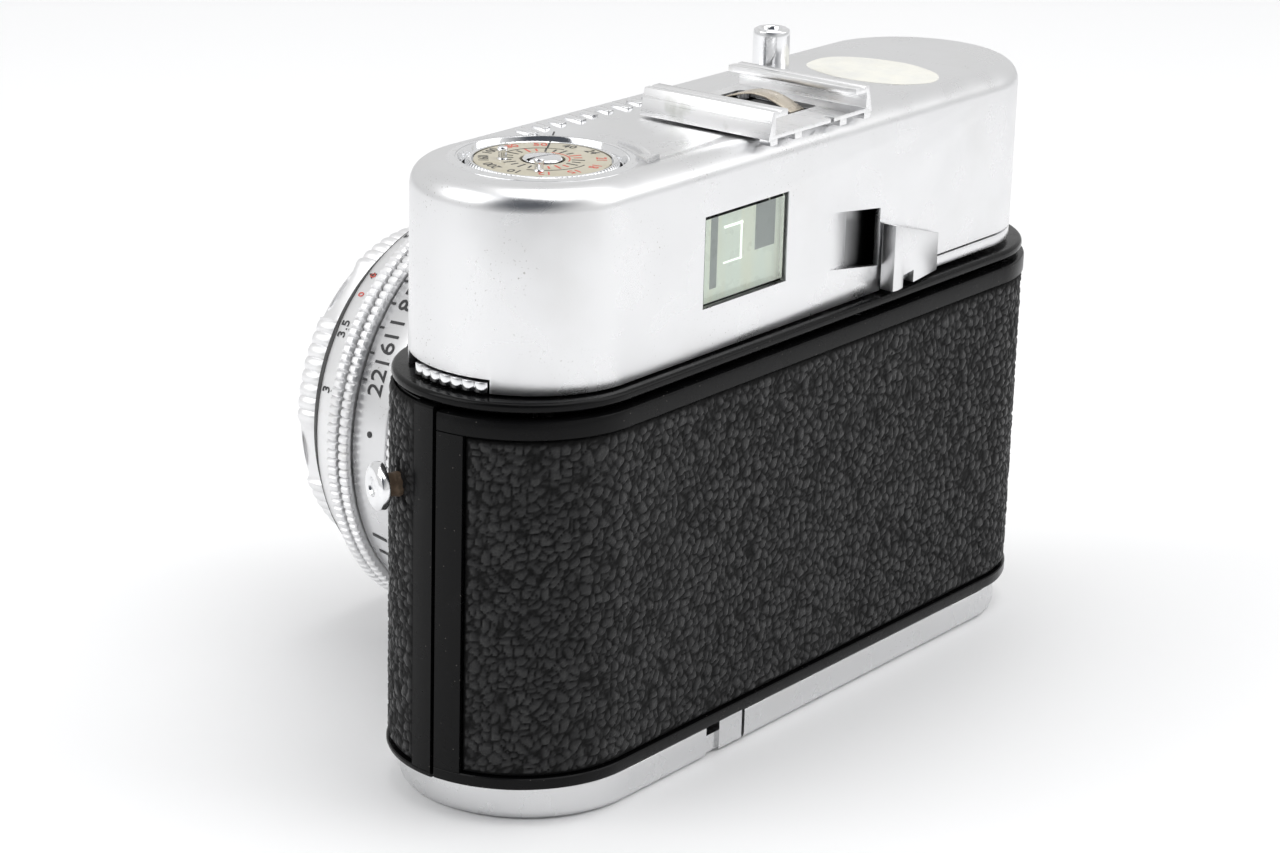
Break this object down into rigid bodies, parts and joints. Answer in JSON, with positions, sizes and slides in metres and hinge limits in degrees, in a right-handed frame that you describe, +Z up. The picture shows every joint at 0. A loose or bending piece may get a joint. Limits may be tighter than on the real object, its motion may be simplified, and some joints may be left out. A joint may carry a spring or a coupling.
{
  "type": "half frame camera",
  "caption": "Compact 35 mm viewfinder camera with a hinged back and base flap, pop-up rewind knob, thumb advance lever, accessory shoe and a leaf-shutter lens with setting and focusing rings.",
  "frame": {"origin": "on the underside of the base plate, midway along the body and midway between its front and back walls", "axes": "+Z up, +Y towards the back door, lens looking along -Y, +X towards the rewind end"},
  "size_m": [0.1142, 0.0671, 0.0805],
  "materials": {
    "satin_chrome": "satin chrome plate on brass, fine speckle and handling wear",
    "polished_chrome": "bright chrome plate",
    "shoe_alloy": "bright drawn aluminium, with fine lines along its length",
    "black_enamel": "gloss black enamel on a die-cast body",
    "matt_black": "matt black light-absorbing paint",
    "leather": "black pebbled leatherette",
    "steel": "bare machined steel",
    "brass": "machined brass",
    "dial_cream": "cream enamelled dial with red and black segments",
    "optical_glass": "polished glass, faint green tint"
  },
  "bodies": {
    "camera": {"front_shell": "black_enamel", "front_leather": "leather", "strap_lug_rewind": "polished_chrome", "strap_lug_advance": "polished_chrome", "chassis_floor": "matt_black", "chassis_deck": "black_enamel", "cassette_wall": "matt_black", "takeup_wall": "matt_black", "film_gate": "matt_black", "light_baffle": "matt_black", "door_hinge_pin": "steel", "base_plate": "satin_chrome", "tripod_bush": "steel", "flap_hinge_block": "satin_chrome", "flap_hinge_pin": "steel", "top_cover": "satin_chrome", "finder_housing": "matt_black", "finder_glass_rear": "optical_glass", "finder_glass_front": "optical_glass", "accessory_shoe": "shoe_alloy", "shoe_rivet_1": "steel", "shoe_rivet_2": "steel", "shoe_spring": "steel", "knob_bezel": "polished_chrome", "rewind_spring": "steel", "release_collar": "polished_chrome", "release_bracket": "brass", "release_spring": "steel", "lens_mount_flange": "polished_chrome", "shutter_housing": "satin_chrome", "aperture_scale": "satin_chrome", "rear_lens_element": "optical_glass", "shutter_plate": "steel", "iris_diaphragm": "matt_black"},
    "back_door": {"back_door": "black_enamel", "door_leather": "leather", "pressure_plate": "matt_black", "pressure_spring": "steel"},
    "base_flap": {"base_flap": "satin_chrome"},
    "rewind_sleeve": {"rewind_sleeve": "brass"},
    "rewind_knob": {"rewind_knob": "polished_chrome", "knob_screw": "polished_chrome", "rewind_shaft": "steel"},
    "film_dial": {"film_reminder_dial": "dial_cream"},
    "rewind_catch": {"rewind_catch": "polished_chrome"},
    "release_button": {"release_button": "polished_chrome"},
    "advance_lever": {"advance_lever": "polished_chrome", "advance_shaft": "steel", "advance_gear": "brass"},
    "idler": {"idler_gear": "brass"},
    "sprocket": {"film_sprocket": "polished_chrome"},
    "takeup_spool": {"takeup_spool": "matt_black"},
    "speed_ring": {"speed_ring": "polished_chrome"},
    "aperture_ring": {"aperture_ring": "polished_chrome"},
    "sync_ring": {"sync_ring": "polished_chrome"},
    "focus_ring": {"focus_ring": "satin_chrome"},
    "lens_cell": {"lens_barrel": "matt_black", "front_lens_element": "optical_glass"},
    "shutter_blade_1": {"shutter_blade_1": "steel"},
    "shutter_blade_2": {"shutter_blade_2": "steel"}
  },
  "joints": [
    {"name": "door_hinge", "type": "hinge", "parent": "camera", "child": "back_door", "pos_m": [-0.0549, -0.0012, 0.0266], "axis": [0, 0, 1], "range_deg": [0, 100]},
    {"name": "flap_hinge", "type": "hinge", "parent": "camera", "child": "base_flap", "pos_m": [0.0206, 0, 0.00125], "axis": [0, 1, 0], "range_deg": [0, 95]},
    {"name": "rewind_lift", "type": "slide", "parent": "camera", "child": "rewind_sleeve", "axis": [0, 0, 1], "range_m": [0, 0.006], "deforming": ["rewind_spring"]},
    {"name": "rewind_turn", "type": "hinge", "parent": "rewind_sleeve", "child": "rewind_knob", "pos_m": [0.0368, 0, 0.07], "axis": [0, 0, 1], "continuous": true},
    {"name": "dial_turn", "type": "hinge", "parent": "rewind_knob", "child": "film_dial", "pos_m": [0.0368, 0, 0.074], "axis": [0, 0, 1], "continuous": true},
    {"name": "catch_slide", "type": "hinge", "parent": "camera", "child": "rewind_catch", "pos_m": [0.03865, 0, 0.0517], "axis": [0, 0, 1], "range_deg": [-12, 0], "stiffness_Nm_per_rad": 0.01, "springref_deg": 17.19},
    {"name": "release_press", "type": "slide", "parent": "camera", "child": "release_button", "axis": [0, 0, 1], "range_m": [-0.0022, 0], "stiffness_N_per_m": 400, "springref_m": 0.002, "deforming": ["release_spring"]},
    {"name": "advance_turn", "type": "hinge", "parent": "camera", "child": "advance_lever", "pos_m": [-0.03865, 0, 0.0517], "axis": [0, 0, 1], "range_deg": [0, 120], "stiffness_Nm_per_rad": 0.01, "springref_deg": -22.92},
    {"name": "idler_turn", "type": "hinge", "parent": "camera", "child": "idler", "pos_m": [-0.02796, -0.00545, 0.054], "axis": [0, 0, 1], "range_deg": [-180, 0]},
    {"name": "sprocket_turn", "type": "hinge", "parent": "camera", "child": "sprocket", "pos_m": [-0.0239, 0.00325, 0.03], "axis": [0, 0, 1], "range_deg": [0, 180]},
    {"name": "spool_turn", "type": "hinge", "parent": "camera", "child": "takeup_spool", "pos_m": [-0.03865, 0, 0.03], "axis": [0, 0, 1], "range_deg": [0, 120]},
    {"name": "speed_turn", "type": "hinge", "parent": "camera", "child": "speed_ring", "pos_m": [0.002, -0.0385, 0.0286], "axis": [0, -1, 0], "range_deg": [-60, 60]},
    {"name": "aperture_turn", "type": "hinge", "parent": "camera", "child": "aperture_ring", "pos_m": [0.002, -0.0367, 0.0286], "axis": [0, -1, 0], "range_deg": [-40, 40]},
    {"name": "sync_turn", "type": "hinge", "parent": "camera", "child": "sync_ring", "pos_m": [0.002, -0.0262, 0.0286], "axis": [0, -1, 0], "range_deg": [0, 25]},
    {"name": "focus_turn", "type": "hinge", "parent": "camera", "child": "focus_ring", "pos_m": [0.002, -0.0416, 0.0286], "axis": [0, -1, 0], "range_deg": [0, 170]},
    {"name": "cell_slide", "type": "slide", "parent": "camera", "child": "lens_cell", "axis": [0, -1, 0], "range_m": [0, 0.0016]},
    {"name": "blade_1_swing", "type": "hinge", "parent": "camera", "child": "shutter_blade_1", "pos_m": [0.008, -0.0241, 0.0101], "axis": [0, 1, 0], "range_deg": [0, 38], "stiffness_Nm_per_rad": 0.001, "springref_deg": -17.19},
    {"name": "blade_2_swing", "type": "hinge", "parent": "camera", "child": "shutter_blade_2", "pos_m": [-0.004, -0.0247, 0.0101], "axis": [0, 1, 0], "range_deg": [-38, 0]}
  ],
  "couplings": [
    {"joint": "idler_turn", "follows": "advance_turn", "ratio": -1.5},
    {"joint": "sprocket_turn", "follows": "advance_turn", "ratio": 1.5},
    {"joint": "spool_turn", "follows": "advance_turn", "ratio": 1},
    {"joint": "cell_slide", "follows": "focus_turn", "m_per_rad": 0.0005},
    {"joint": "blade_2_swing", "follows": "blade_1_swing", "ratio": -1}
  ]
}
